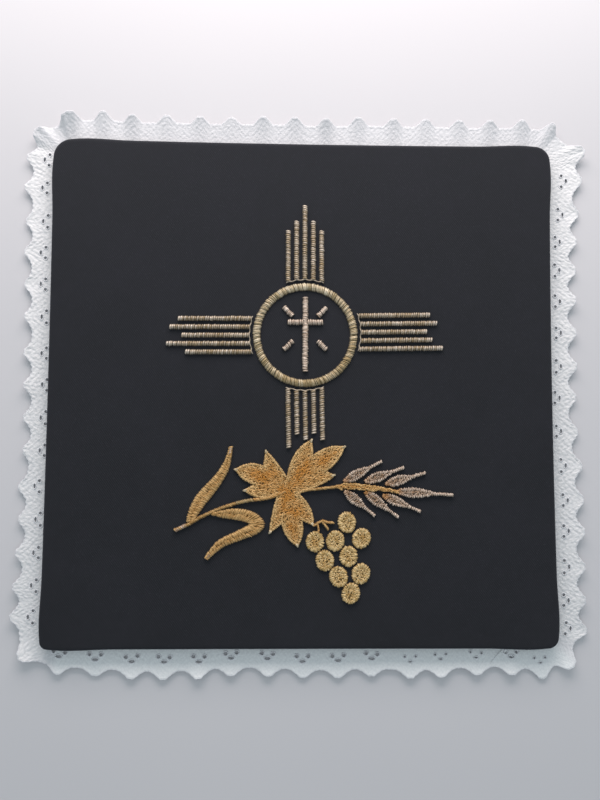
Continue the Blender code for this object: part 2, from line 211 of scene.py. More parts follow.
def smooth_run(points, steps=8, closed=False):
    """A smooth curve through a run of points, however they are spaced. Sharp corners stay sharp."""
    knots = np.asarray(points, float)
    if closed:
        knots = np.vstack([knots[-1:], knots, knots[:2]])
    else:
        knots = np.vstack([2 * knots[:1] - knots[1:2], knots, 2 * knots[-1:] - knots[-2:-1]])
    gaps = np.linalg.norm(np.diff(knots, axis=0), axis=1)[:, None]
    slopes = np.diff(knots, axis=0) / gaps
    turned = (slopes[:-1] * gaps[1:] + slopes[1:] * gaps[:-1]) / (gaps[:-1] + gaps[1:])
    sharp = (slopes[:-1] * slopes[1:]).sum(axis=1, keepdims=True) < SHARP_TURN
    leaving = (np.where(sharp, slopes[1:], turned)[:-1] * gaps[1:-1])[:, None]
    arriving = (np.where(sharp, slopes[:-1], turned)[1:] * gaps[1:-1])[:, None]
    here, there = knots[1:-2][:, None], knots[2:-1][:, None]
    t = (np.arange(steps) / steps)[None, :, None]
    curve = (here * (2 * t ** 3 - 3 * t ** 2 + 1) + leaving * (t ** 3 - 2 * t ** 2 + t)
             + there * (3 * t ** 2 - 2 * t ** 3) + arriving * (t ** 3 - t ** 2))
    curve = curve.reshape(-1, knots.shape[1])
    return np.vstack([curve, knots[-2:-1] if not closed else curve[:1]])


def lengths_along(run):
    return np.concatenate([[0.0], np.cumsum(np.linalg.norm(np.diff(run, axis=0), axis=1))])


def take(run, lengths, places):
    """Points of a run at given lengths along it."""
    return np.column_stack([np.interp(places, lengths, column) for column in np.asarray(run).T])


def coons_grid(bottom, right, top, left):
    """Fills the space between four sides, bottom and top running with +X, left and right with +Y."""
    u = np.linspace(0, 1, len(bottom))[None, :, None]
    v = np.linspace(0, 1, len(left))[:, None, None]
    ruled = (1 - v) * bottom[None] + v * top[None] + (1 - u) * left[:, None] + u * right[:, None]
    corners = (1 - u) * (1 - v) * bottom[0] + u * (1 - v) * bottom[-1] + (1 - u) * v * top[0] + u * v * top[-1]
    return ruled - corners


def add_piece(name, mesh, finish, *nodes, slot_name):
    """Shows a mesh in place of CAD nodes."""
    piece = bpy.data.objects.new(name, mesh)
    bpy.context.scene.collection.objects.link(piece)
    mesh.materials.append(finish)
    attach(piece, "root")
    if nodes:
        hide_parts(*nodes)
    return piece


case_low, case_high = (np.array(corner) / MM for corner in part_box("cover"))
CLOTH_TOP = case_high[2]
RIM_LEVELS = (1.5, 2.7, 3.0)
RIM_ROLL = CLOTH_TOP - RIM_LEVELS[2]
FOOT_HALF = 77.5
FOOT_ROLL = 0.3

rim = smooth_run(widest_runs("cover")[0], closed=True)[:-1]
rim_angle = np.degrees(np.arctan2(rim[:, 1], rim[:, 0]))
corner_at = [int(np.argmin(np.abs(rim_angle - angle))) for angle in (-135, -45, 45, 135)]
if rim[(corner_at[0] + 1) % len(rim), 0] < rim[corner_at[0], 0]:
    rim = rim[::-1]
    rim_angle = rim_angle[::-1]
    corner_at = [int(np.argmin(np.abs(rim_angle - angle))) for angle in (-135, -45, 45, 135)]


def rim_side(start, end, count):
    side = rim[start:end + 1] if start < end else np.vstack([rim[start:], rim[:end + 1]])
    lengths = lengths_along(side)
    return take(side, lengths, np.linspace(0, lengths[-1], count + 1))


CASE_CELLS = int(2 * case_high[0] / CASE_CELL)
edges = [rim_side(corner_at[k], corner_at[(k + 1) % 4], CASE_CELLS) for k in range(4)]
loop = np.vstack([edge[:-1] for edge in edges])
ahead = np.roll(loop, -1, axis=0) - np.roll(loop, 1, axis=0)
loop_out = np.column_stack([ahead[:, 1], -ahead[:, 0]]) / np.linalg.norm(ahead, axis=1)[:, None]


def case_mesh():
    """The top as a grid inside the rim, then the rim's roll, the ledge over the lace and the flat foot."""
    n = CASE_CELLS
    shrunk = loop - loop_out * RIM_ROLL
    sides = [shrunk[k * n:(k + 1) * n + 1] if k < 3 else np.vstack([shrunk[3 * n:], shrunk[:1]]) for k in range(4)]
    top = coons_grid(sides[0], sides[1], sides[2][::-1], sides[3][::-1])
    x, y = top[..., 0], top[..., 1]
    height = CLOTH_TOP - SAG * (1 + np.sin(x / 23.0 + 1.0) * np.sin(y / 31.0)) * 0.5
    mesh = bmesh.new()
    rows = [[mesh.verts.new((x[j, i] * MM, y[j, i] * MM, height[j, i] * MM)) for i in range(n + 1)]
            for j in range(n + 1)]
    for j in range(n):
        for i in range(n):
            mesh.faces.new((rows[j][i], rows[j][i + 1], rows[j + 1][i + 1], rows[j + 1][i]))
    ring = rows[0][:-1] + [row[-1] for row in rows[:-1]] + rows[-1][:0:-1] + [row[0] for row in rows[:0:-1]]
    turns = [math.pi / 2 * step / ROLL_STEPS for step in range(1, ROLL_STEPS + 1)]
    profile = [(RIM_ROLL * math.sin(turn), RIM_LEVELS[2] + RIM_ROLL * math.cos(turn)) for turn in turns]
    profile += [(RIM_ROLL * math.cos(turn), RIM_LEVELS[1] - RIM_ROLL * math.sin(turn)) for turn in [0.0] + turns]
    for out, level in profile:
        points = loop + loop_out * (out - RIM_ROLL)
        ring = lower_ring(mesh, ring, points, level)
    foot = np.clip(loop, 4.0 - FOOT_HALF, FOOT_HALF - 4.0)
    stray = loop - foot
    foot = foot + stray / np.linalg.norm(stray, axis=1)[:, None] * 4.0
    for share, level in ((1.0, RIM_LEVELS[0]), (1.0, FOOT_ROLL), (1.0 - FOOT_ROLL / FOOT_HALF, 0.0)):
        ring = lower_ring(mesh, ring, foot * share, level)
    for share in (0.97, 0.9, 0.75, 0.5, 0.25):
        ring = lower_ring(mesh, ring, foot * share, 0.0)
    mesh.faces.new(ring[::-1])
    bmesh.ops.recalc_face_normals(mesh, faces=mesh.faces)
    data = bpy.data.meshes.new("black_case")
    mesh.to_mesh(data)
    mesh.free()
    data.shade_smooth()
    return data


def lower_ring(mesh, ring, points, level):
    """Joins the last ring of corners to a new one."""
    fresh = [mesh.verts.new((x * MM, y * MM, level * MM)) for x, y in points]
    for k, vertex in enumerate(ring):
        after = (k + 1) % len(ring)
        mesh.faces.new((vertex, fresh[k], fresh[after], ring[after]))
    return fresh


case = add_piece("black_case", case_mesh(), black_twill(), "cover", slot_name="black_cloth")

# The edging is a strip of white cotton lace, closely stitched, with a scalloped edge bound by a cord and small
# worked eyelets in every scallop. Its heading is sewn under the case's rim, and its two ends lap at the bottom.

LACE_THICKNESS = 0.34
LACE_COLUMNS = 30
LACE_ROWS = np.concatenate([(0.0, 0.12), np.linspace(0.24, 1.0, 23)])
LACE_START = 34.9
LACE_LAP = 0.8
LAP_RISE = 0.25
LAP_SLANT = 20
SCALLOP_PITCH = 11.0
HEADING_CORE = 73.5
HEADING_RADIUS = 4.5
HEADING_HEIGHT = 0.36
VALLEY_LIFT = 0.5
CURLED_TIP = 1
CURL = 1.2
LIFT_WAVE = (0.35, 0.9)
LIFT_RIPPLE = (0.25, 2.9)
VALLEY_WAVE = (0.2, 0.55)
CRUMPLE_PITCH = 2.0
CRUMPLE_HEIGHT = 0.08
PICOT_PITCH = 1.5
PICOT = 0.16
EYELET_WANDER = 0.22
NEARLY_CLOSED = (34, 36, 37, 38)

# The scallops' tips on the top, the right, the bottom and the left, clockwise
LACE_TIPS = (
    ((-76.0, 88.8), (-64.9, 89.7), (-55.5, 88.6), (-44.5, 88.9), (-33.7, 88.6), (-23.6, 88.6),
     (-13.3, 88.8), (-3.0, 88.8), (7.1, 88.3), (17.7, 89.2), (29.2, 88.9), (39.8, 89.1), (50.8, 88.9),
     (60.9, 88.9), (71.5, 89.2), (81.7, 88.2)),
    ((90.8, 69.4), (89.7, 58.5), (88.7, 49.2), (88.3, 39.7), (88.0, 29.8), (88.0, 19.2), (87.9, 8.3),
     (87.5, -1.6), (87.9, -12.6), (89.1, -23.5), (89.3, -34.3), (89.2, -44.3), (89.2, -55.3),
     (89.0, -65.6), (89.6, -75.2)),
    ((75.5, -89.8), (65.5, -88.2), (54.8, -88.3), (43.5, -88.9), (33.8, -89.3), (21.7, -88.6),
     (11.4, -89.2), (0.5, -89.1), (-10.3, -88.5), (-21.7, -88.3), (-31.8, -89.1), (-42.6, -89.5),
     (-52.4, -89.2), (-63.4, -88.4), (-75.0, -87.8)),
    ((-89.5, -70.6), (-88.9, -61.4), (-88.4, -51.1), (-87.9, -40.8), (-88.4, -30.8), (-87.2, -19.4),
     (-87.4, -9.2), (-87.4, 1.0), (-87.8, 11.3), (-87.9, 22.8), (-88.4, 33.2), (-88.7, 43.7),
     (-88.5, 53.7), (-89.2, 64.6), (-88.7, 74.5)),
)

# Columns: for the same sides, the tooth's half width at its tip and its foot, how hollow its flanks are, the
# valleys' depth, how crumpled the strip is, which also picks the side's painted white, how far in from the tips its
# eyelets sit, how open they are, how far the tips lift and how late the strip bends up to them
LACE_TEETH = (
    (0.7, 3.3, 1.2, 2.1, 0.6, 10.5, 0.5, 1.8, 1.9),
    (1.0, 4.9, 1.6, 2.4, 1.0, 6.3, 0.82, 1.1, 3.0),
    (0.9, 4.8, 1.6, 2.3, 0.4, 6.5, 1.0, 0.9, 3.0),
    (0.8, 4.6, 1.7, 2.2, 0.95, 6.5, 0.82, 1.1, 3.0),
)

CORNER_TOOTH = (1.9, 4.8, 1.5)

# Columns: x and y of the corner scallop before each side, the valleys' depths before and after it, its curl
LACE_CORNERS = (
    (-86.3, 83.2, 1.6, 0.8, 2.2),
    (91.8, 79.6, 2.2, 2.0, 2.2),
    (84.9, -86.0, 2.0, 2.2, 1.6),
    (-86.4, -83.2, 0.9, 0.7, 1.8),
)

# Columns: out from the first eyelets, beside the scallop's middle, half width and half length of an eyelet
EYELETS = (
    (0.0, -1.75, 0.66, 0.64),
    (0.0, 1.75, 0.66, 0.64),
    (1.5, 0.0, 1.0, 0.52),
)


def swing(shape, place):
    """A slow wave that keeps the strip uneven: its height, and its turn for each scallop."""
    height, turn = shape
    return height * math.sin(turn * place)


def scallop_tips():
    """Every scallop's tip, clockwise from the top left corner: place, valleys' depths, lift, tooth and if a corner."""
    tips = []
    for side, corner, tooth in zip(LACE_TIPS, LACE_CORNERS, LACE_TEETH):
        tips.append((Vector(corner[:2]), *corner[2:], CORNER_TOOTH + tooth[3:], True))
        for point in side:
            number = len(tips)
            lift = tooth[7] + swing(LIFT_WAVE, number) + swing(LIFT_RIPPLE, number)
            shape = tooth
            if number == CURLED_TIP:
                lift += CURL
                shape = CORNER_TOOTH + tooth[3:]
            tips.append((Vector(point), tooth[3], tooth[3], lift, shape, False))
    return tips


def heading_point(point):
    """The nearest place on the lace's heading, under the case's rim."""
    core = Vector([max(-HEADING_CORE, min(HEADING_CORE, value)) for value in point])
    return core + (point - core).normalized() * HEADING_RADIUS


def tooth_rise(tooth, distance):
    """How far the edge has risen from the valley, 0, to the tip, 1, at a distance from the tip."""
    tip_half, foot_half, hollow = tooth[:3]
    return max(0.0, min(1.0, 1 - (distance - tip_half) / (foot_half - tip_half))) ** hollow


TIPS = scallop_tips()


def lace_column(place):
    """One row of points from the heading to the edge, with what its finish needs. Place counts the scallops."""
    index = int(math.floor(place)) % len(TIPS)
    t = place - math.floor(place)
    tip_a, _, depth_a, lift_a, tooth_a, _ = TIPS[index]
    tip_b, depth_b, _, lift_b, tooth_b, _ = TIPS[(index + 1) % len(TIPS)]
    gap = (tip_b - tip_a).length
    chord = tip_a.lerp(tip_b, t)
    outward = (chord - heading_point(chord)).normalized()
    rise = max(tooth_rise(tooth_a, gap * t), tooth_rise(tooth_b, gap * (1 - t)))
    crumple = tooth_a[4] + (tooth_b[4] - tooth_a[4]) * t
    bend = tooth_a[8] + (tooth_b[8] - tooth_a[8]) * t
    picot = PICOT * crumple * math.sin(2 * math.pi * place * SCALLOP_PITCH / PICOT_PITCH + 2.0 * math.sin(place * 3.1))
    edge = chord - outward * ((depth_a + (depth_b - depth_a) * t) * (1 - rise) + picot)
    lift = VALLEY_LIFT + swing(VALLEY_WAVE, place)
    lift += (lift_a + (lift_b - lift_a) * t - lift) * rise
    start = heading_point(edge)
    reach = (edge - start).length
    lapped = min(max((place - LACE_START - len(TIPS) + 0.25) / 0.25, 0.0), 1.0)
    shares = LACE_ROWS
    turn = 2 * math.pi / CRUMPLE_PITCH
    fold = np.sin(turn * place * SCALLOP_PITCH + 1.2 * np.sin(shares * 6.0 + place * 2.3))
    fold = fold * np.sin(turn * reach * shares + 1.6 * math.sin(place * 5.1))
    fold = fold * CRUMPLE_HEIGHT * crumple * np.clip((shares - 0.25) / 0.3, 0, 1)
    height = HEADING_HEIGHT + lift * shares ** bend + fold + LAP_RISE * lapped * np.clip(shares / 0.3, 0, 1)
    spots = np.outer(1 - shares, start) + np.outer(shares, edge)
    beside = gap * t if t < 0.5 else gap * (t - 1)
    strip = [(place * SCALLOP_PITCH, reach * (1 - share), beside, crumple) for share in shares]
    return np.column_stack([spots, np.maximum(height, 0.3)]), strip


def white_cotton():
    """Close stitching in a diamond lattice, pulled into outward ridges where the strip is crumpled. Its hollows carry
    a painted bluish-grey shade, and each side of the strip a painted white of its own.
    """
    finish, dye, shader = new_finish("white_cotton", Sheen_Weight=0.2, Specular_IOR_Level=0.3)
    strip = dye.node("ShaderNodeAttribute", {"attribute_name": "strip"})
    crumpled = Dye(dye.tree, strip.socket.node.outputs[3])
    along = strip.node("ShaderNodeSeparateXYZ", sockets={0: strip})
    inward = Dye(dye.tree, along.socket.node.outputs[1])
    bend = noise(dye, 420.0, 1.0)
    nubs = noise(dye, 1200.0, 2.0)
    turn = 2 * math.pi / 1.35
    rising = ((along + inward) * turn + bend * 9.0).wave()
    falling = ((along - inward) * turn + bend * 7.0).wave()
    lattice = rising * falling
    puckers = strip.node("ShaderNodeTexVoronoi", {"voronoi_dimensions": "2D", "feature": "SMOOTH_F1"},
                         {"Vector": strip, "Scale": 0.9, "Smoothness": 0.3})
    pattern = lattice + (1.15 - puckers * 1.7 - lattice) * crumpled
    edging = inward.held(0.7, 0.4)
    relief = pattern * (0.22 + crumpled * 0.36) + nubs * 0.9 + edging * 0.2
    # Painted shade: the lattice's hollows and the puckers' pits are darkened towards a bluish grey, more where the
    # strip is crumpled.
    painted_pit_shade = (pattern + nubs * 0.4).held(0.75, 0.25)
    # Painted light and shade: each side gets its own white through its crumple value, painted greyer on the top
    # against the window's full light there, and bluish on the bottom as the shade it lies in.
    white = crumpled.held(0.4, 0.6).mixed(from_srgb(252, 255, 255), from_srgb(238, 238, 240))
    white = crumpled.held(0.6, 0.9).mixed(white, from_srgb(248, 248, 248))
    body = (painted_pit_shade * (0.14 + crumpled * 0.14)).mixed(white, from_srgb(204, 208, 213))
    bump = dye.node("ShaderNodeBump", sockets={"Strength": 0.8, "Distance": 0.18 * MM, "Height": relief})
    feed(shader, Base_Color=body, Roughness=0.8 + nubs * 0.15, Normal=bump)
    let_light_through(finish, shader, 0.14)
    return finish


def let_light_through(finish, shader, share):
    """Thin cotton glows a little from the light behind it."""
    nodes, links = finish.node_tree.nodes, finish.node_tree.links
    glow = nodes.new("ShaderNodeBsdfTranslucent")
    glow.inputs["Color"].default_value = from_srgb(246, 247, 248)
    blend = nodes.new("ShaderNodeMixShader")
    blend.inputs[0].default_value = share
    links.new(shader.outputs[0], blend.inputs[1])
    links.new(glow.outputs[0], blend.inputs[2])
    links.new(blend.outputs[0], nodes["Material Output"].inputs[0])


def cotton_cord():
    """Cotton thread wound round a cord, so that its turns slant. The grooves between the turns carry a painted
    bluish-grey shade.
    """
    finish, dye, shader = new_finish("cotton_cord", Sheen_Weight=0.2, Specular_IOR_Level=0.3)
    lay = dye.node("ShaderNodeAttribute", {"attribute_name": "lay"})
    along = lay.node("ShaderNodeSeparateXYZ", sockets={0: lay})
    round_it = Dye(dye.tree, along.socket.node.outputs[1])
    turns = (along * (2 * math.pi / 0.55) + round_it * 2 * math.pi).wave()
    # Painted shade: the grooves between the turns are darkened to a bluish grey.
    body = (turns * 0.5 + noise(dye, 1800.0) * 0.3).mixed(from_srgb(214, 216, 220), from_srgb(246, 246, 247))
    bump = dye.node("ShaderNodeBump", sockets={"Strength": 0.6, "Distance": 0.07 * MM, "Height": turns})
    feed(shader, Base_Color=body, Normal=bump)
    shader.inputs["Roughness"].default_value = 0.85
    return finish


def open_eyelet(spots, kept, middle, across, out, half_width, half_length):
    """Takes the cells inside an eyelet out of the grid and draws its rim's corners to a clean oval."""
    def place_in(points):
        stray = points[..., :2] - middle
        return np.hypot(stray @ across / half_width, stray @ out / half_length)

    near = place_in(spots) < 4.0
    if not near.any():
        return
    columns = np.flatnonzero(near.any(axis=1))
    low, high = max(columns[0] - 1, 0), min(columns[-1] + 2, len(spots))
    part = spots[low:high]
    centres = (part[:-1, :-1] + part[1:, :-1] + part[:-1, 1:] + part[1:, 1:]) / 4
    gone = place_in(centres) < 1.0
    kept[low:high - 1] &= ~gone
    touched = np.zeros(part.shape[:2], bool)
    whole = np.zeros(part.shape[:2], bool)
    for a in (0, 1):
        for b in (0, 1):
            corner = (slice(a, a + gone.shape[0]), slice(b, b + gone.shape[1]))
            touched[corner] |= gone
            whole[corner] |= ~gone
    rim = touched & whole
    stray = part[rim, :2] - middle
    part[rim, :2] = middle + stray / place_in(part[rim])[:, None]


def lace_grid():
    """The strip's grid, which of its cells stay, and each eyelet's rim."""
    count = int((len(TIPS) + LACE_LAP) * LACE_COLUMNS)
    columns = [lace_column(LACE_START + index / LACE_COLUMNS) for index in range(count + 1)]
    spots = np.array([column[0] for column in columns])
    strip = np.array([column[1] for column in columns])
    place = np.arange(count + 1.0)
    for row, share in enumerate(LACE_ROWS):
        slanted = place - LAP_SLANT * (1 - share) * np.clip((place - count) / LACE_COLUMNS + 1, 0, 1)
        spots[:, row] = take(spots[:, row], place, slanted)
        strip[:, row] = take(strip[:, row], place, slanted)
    kept = np.ones((count, len(LACE_ROWS) - 1), bool)
    rims = []
    for number in range(math.ceil(LACE_START), int(LACE_START + len(TIPS) + LACE_LAP) + 1):
        tip, _, _, _, tooth, corner = TIPS[number % len(TIPS)]
        out = np.array((tip - heading_point(tip)).normalized())
        across = np.array((out[1], -out[0]))
        for outward, beside, half_width, half_length in EYELETS:
            if corner:
                continue
            middle = np.array(tip) - out * (tooth[5] - outward) + across * beside
            middle += (swing((EYELET_WANDER, 7.3), number + beside), swing((EYELET_WANDER, 4.1), number - beside))
            openness = tooth[6] * (0.6 if number % len(TIPS) in NEARLY_CLOSED else 1.0)
            half_width, half_length = half_width * openness, half_length * openness
            column = int((number - LACE_START) * LACE_COLUMNS)
            low, high = max(column - 15, 0), min(column + 16, len(spots))
            open_eyelet(spots[low:high], kept[low:high - 1], middle, across, out, half_width, half_length)
            turns = np.linspace(0, 2 * math.pi, 13)
            rim = middle + np.outer(np.cos(turns) * (half_width + 0.1), across)
            rim = rim + np.outer(np.sin(turns) * (half_length + 0.1), out)
            flat = spots[low:high].reshape(-1, 3)
            nearest = np.linalg.norm(rim[:, None] - flat[None, :, :2], axis=2).argmin(axis=1)
            rims.append(np.column_stack([rim, flat[nearest, 2] + LACE_THICKNESS / 2]))
    return spots, strip, kept, rims


def lace_mesh(spots, strip, kept):
    """The strip as a fine grid with its eyelets open."""
    columns, rows = spots.shape[:2]
    index = np.arange(columns * rows).reshape(columns, rows)
    quads = np.stack([index[:-1, :-1], index[:-1, 1:], index[1:, 1:], index[1:, :-1]], axis=-1)[kept]
    used = np.unique(quads)
    fresh = np.zeros(columns * rows, int)
    fresh[used] = np.arange(len(used))
    data = bpy.data.meshes.new("lace_strip")
    data.from_pydata((spots.reshape(-1, 3)[used] * MM).tolist(), [], fresh[quads].tolist())
    attribute = data.attributes.new("strip", "FLOAT_COLOR", "POINT")
    attribute.data.foreach_set("color", strip.reshape(-1, 4)[used].astype(np.float32).ravel())
    data.shade_smooth()
    return data


def thread_mesh(name, groups, beds=()):
    """Joins laid threads into one mesh. Each group has its runs of points, widths, thicknesses, tones and warmth."""
    corners, faces, lays = [], [], []
    count = 0
    for points, sides in beds:
        corners.append(points)
        faces += [[index + count for index in side] for side in sides]
        lays.append(np.zeros((len(points), 4)))
        count += len(points)
    for runs, widths, thick, tones, warmth in groups:
        stitches, stations, _ = runs.shape
        ahead = np.gradient(runs, axis=1)
        ahead /= np.linalg.norm(ahead, axis=2)[..., None] + 1e-9
        flat = np.gradient(runs[..., :2], axis=1)
        flat /= np.linalg.norm(flat, axis=2)[..., None] + 1e-9
        side = np.dstack([flat[..., 1], -flat[..., 0], flat[..., 0] * 0])
        up = np.cross(side, ahead)
        turn = -np.pi / 2 + 2 * np.pi * np.arange(THREAD_SIDES) / THREAD_SIDES
        ring = (side[:, :, None] * (np.cos(turn)[None, None, :, None] * widths[:, None, None, None] / 2)
                + up[:, :, None] * (np.sin(turn)[None, None, :, None] * thick[:, None, None, None] / 2))
        corners.append((runs[:, :, None] + ring).reshape(-1, 3))
        steps = np.linalg.norm(np.diff(runs, axis=1), axis=2)
        lay = np.zeros((stitches, stations, THREAD_SIDES, 4))
        lay[:, 1:, :, 0] = np.cumsum(steps, axis=1)[..., None]
        lay[..., 1] = np.arange(THREAD_SIDES) / THREAD_SIDES
        lay[..., 2] = tones[..., None]
        lay[..., 3] = warmth[..., None]
        lays.append(lay.reshape(-1, 4))
        index = count + np.arange(stitches * stations * THREAD_SIDES).reshape(stitches, stations, THREAD_SIDES)
        a, b = index[:, :-1], index[:, 1:]
        quads = np.stack([a, np.roll(a, -1, axis=2), np.roll(b, -1, axis=2), b], axis=-1)
        faces += quads.reshape(-1, 4).tolist()
        faces += index[:, 0, ::-1].tolist() + index[:, -1].tolist()
        count += stitches * stations * THREAD_SIDES
    data = bpy.data.meshes.new(name)
    data.from_pydata((np.vstack(corners) * MM).tolist(), [], faces)
    attribute = data.attributes.new("lay", "FLOAT_COLOR", "POINT")
    attribute.data.foreach_set("color", np.vstack(lays).astype(np.float32).ravel())
    data.shade_smooth()
    return data


def one_cord(points, width, thick, tone=0.5, warmth=0.0):
    """A single long thread as a group of its own."""
    runs = np.asarray(points, float)[None]
    full = np.ones(runs.shape[:2])
    return runs, np.array([width]), np.array([thick]), full * tone, full * warmth


THREAD_SIDES = 6
lace_spots, lace_strip, lace_kept, eyelet_rims = lace_grid()
lace = add_piece("lace_strip", lace_mesh(lace_spots, lace_strip, lace_kept), white_cotton(), "lace_edging",
                 slot_name="white_lace")
thickness = lace.modifiers.new("thickness", "SOLIDIFY")
thickness.thickness = LACE_THICKNESS * MM
thickness.offset = 0.0
CORD = cotton_cord()
edge_run = lace_spots[:, -1] + (0, 0, 0.02)
edge_cord = add_piece("lace_cord", thread_mesh("lace_cord", [one_cord(edge_run, 0.38, 0.38)]), CORD,
                      slot_name="white_lace")
worked_rims = add_piece("eyelet_rims", thread_mesh("eyelet_rims", [one_cord(rim, 0.42, 0.24) for rim in eyelet_rims]),
                        CORD, slot_name="white_lace")

# The ring is satin stitch in pale gold: fine metal threads laid across a round padding, a few to each turn of
# the needle, so that they stand in small humps with splits where the padding shows, painted dark as shade near the
# cloth.

THREAD_CROWN = 0.78
PADDING_TOP = 0.42
STITCH_DIVE = 0.25
RNG = np.random.default_rng(7)


def gold_thread(name, gap, body, bright, warm, metallic=0.35, roughness=0.5):
    """Metal thread: foil wound round a core, with painted glints, a painted brown shade where it goes down to the
    cloth, and a warmer dye where worn.
    """
    finish, dye, shader = new_finish(name, Metallic=metallic, Sheen_Weight=0.1)
    lay = dye.node("ShaderNodeAttribute", {"attribute_name": "lay"})
    warmth = Dye(dye.tree, lay.socket.node.outputs[3])
    run = lay.node("ShaderNodeSeparateXYZ", sockets={0: lay})
    round_it = Dye(dye.tree, run.socket.node.outputs[1])
    tone = Dye(dye.tree, run.socket.node.outputs[2])
    place = dye.node("ShaderNodeTexCoord", out=3)
    level = place.node("ShaderNodeSeparateXYZ", sockets={0: place}, out=2)
    rise = level.held((CLOTH_TOP + 0.05) * MM, (CLOTH_TOP + 0.7) * MM)
    foil = (run * 18.0 + round_it * 4 * math.pi).wave()
    painted_glint_specks = noise(dye, 2400.0, 2.0).held(0.35, 0.65)
    worn = noise(dye, 260.0, 2.0).held(0.4, 0.6)
    # Painted glints: small specks of the bright colour over the threads.
    colour = (tone * 0.7 + painted_glint_specks * 0.3).mixed(body, bright)
    colour = (warmth * (0.45 + worn * 0.55)).mixed(colour, warm)
    # Painted shade: the thread is darkened to brown the lower it lies, where it dives into the cloth and between
    # stitches.
    colour = (1 - rise).mixed(colour, gap)
    bump = dye.node("ShaderNodeBump", sockets={"Strength": 0.6, "Distance": 0.04 * MM, "Height": foil})
    feed(shader, Base_Color=colour, Roughness=roughness + painted_glint_specks * 0.15 - tone * 0.1, Normal=bump)
    return finish


def over_padding(first, second, crown, lap, stations, bow):
    """Threads from first to second: up out of the cloth, over the padding's crown and down again."""
    t = (1 - np.cos(np.pi * np.linspace(0, 1, stations))) / 2
    rise = (1 - np.abs(2 * t - 1) ** bow) ** (1 / bow)
    reach = (second - first) / np.linalg.norm(second - first, axis=1)[:, None] * lap
    first, second = first - reach, second + reach
    flat = first[:, None] + (second - first)[:, None] * t[None, :, None]
    level = CLOTH_TOP - STITCH_DIVE + (crown[:, None] + STITCH_DIVE) * rise[None]
    return np.dstack([flat, level]), t


def laid(first, second, crown=THREAD_CROWN, width=0.5, thick=0.34, lap=0.08, rough=0.08, stations=9, bow=2.6,
         tones=None, warmth=0.0, pale_start=0.0):
    """A group of satin stitches from first to second, with the small unevenness of handwork."""
    count = len(first)
    first = first + RNG.normal(0, rough, first.shape)
    second = second + RNG.normal(0, rough, second.shape)
    crowns = crown + RNG.normal(0, 0.035, count)
    tones = RNG.uniform(0, 1, count) if tones is None else np.clip(tones + RNG.normal(0, 0.2, count), 0, 1)
    widths = width * RNG.uniform(0.85, 1.15, count)
    runs, t = over_padding(first, second, crowns, lap, stations, bow)
    ends = np.abs(2 * t - 1)[None] ** 2
    # Painted highlight: the stitches are painted paler near where they start, so that the edge they start from looks
    # lit.
    painted_highlight = np.clip(1 - 1.6 * t, 0, 1)[None] * pale_start
    tones = tones[:, None] + (1 - tones[:, None]) * painted_highlight
    warmth = np.broadcast_to(warmth, count)[:, None] * (1 - ends * 0.3) * (1 - painted_highlight)
    return runs, widths, np.full(count, thick), tones, warmth


def bed_between(first, second, spread=0.1):
    """The padding between two rails: a low flat cord, a little wider than the stitches at its foot."""
    across = second - first
    across = across / (np.linalg.norm(across, axis=1)[:, None] + 1e-9)
    foot, top = CLOTH_TOP - 0.05, CLOTH_TOP + PADDING_TOP
    corners = []
    for points, level in ((first - across * spread, foot), (first + across * 0.25, top),
                          (second - across * 0.25, top), (second + across * spread, foot)):
        corners.append(np.column_stack([points, np.full(len(points), level)]))
    corners = np.stack(corners, axis=1).reshape(-1, 3)
    faces = []
    for k in range(len(first) - 1):
        for side in range(4):
            beside = (side + 1) % 4
            faces.append([4 * k + side, 4 * k + beside, 4 * k + 4 + beside, 4 * k + 4 + side])
    last = 4 * (len(first) - 1)
    return corners, faces + [[3, 2, 1, 0], [last, last + 1, last + 2, last + 3]]


def satin(rails, pitch, slant=0.0, span=(1.0, 1.0), **ways):
    """Stitches at an even pitch from the first rail, over a share of the way to the second."""
    first, second = rails
    middle = lengths_along((first + second) / 2)
    count = max(int(middle[-1] / pitch), 1)
    places = (np.arange(count) + 0.5) * middle[-1] / count + RNG.normal(0, pitch * 0.05, count)
    starts, ends = take(first, middle, places - slant / 2), take(second, middle, places + slant / 2)
    return laid(starts, starts + (ends - starts) * RNG.uniform(*span, (count, 1)), **ways)


def around(centre, radius, angles):
    return np.column_stack([centre[0] + radius * np.cos(angles), centre[1] + radius * np.sin(angles)])


PALE_GOLD = gold_thread("pale_gold", from_srgb(58, 42, 22), from_srgb(153, 135, 95), from_srgb(243, 230, 203),
                        from_srgb(180, 148, 92))

ring_low, ring_high = (np.array(corner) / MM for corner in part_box("ring"))
RING_CENTRE = (ring_low + ring_high)[:2] / 2
RING_OUTER = (ring_high - ring_low)[0] / 2 + 0.05
RING_INNER = RING_OUTER - 2.25
RING_PITCH = 0.385
RING_HUMP = 3
RING_GAP = 0.17
RING_SPLIT = 0.2
RING_LEAN = 0.45

ring_steps = RNG.normal(RING_PITCH, 0.02, 300)
ring_steps[::RING_HUMP] += RING_GAP
ring_steps[RNG.random(300) < 0.1] += RING_SPLIT
ring_angles = np.cumsum(ring_steps) / ((RING_OUTER + RING_INNER) / 2)
ring_angles = ring_angles[ring_angles < 2 * np.pi - 0.01]
hump = np.arange(len(ring_angles)) // RING_HUMP
ring_lean = (RING_LEAN + RNG.normal(0, 0.08, hump[-1] + 1)[hump]) / RING_OUTER / 2
ring_crown = THREAD_CROWN + 0.16 + RNG.normal(0, 0.05, hump[-1] + 1)[hump] - 0.13 * (np.arange(len(hump)) % RING_HUMP != 1)
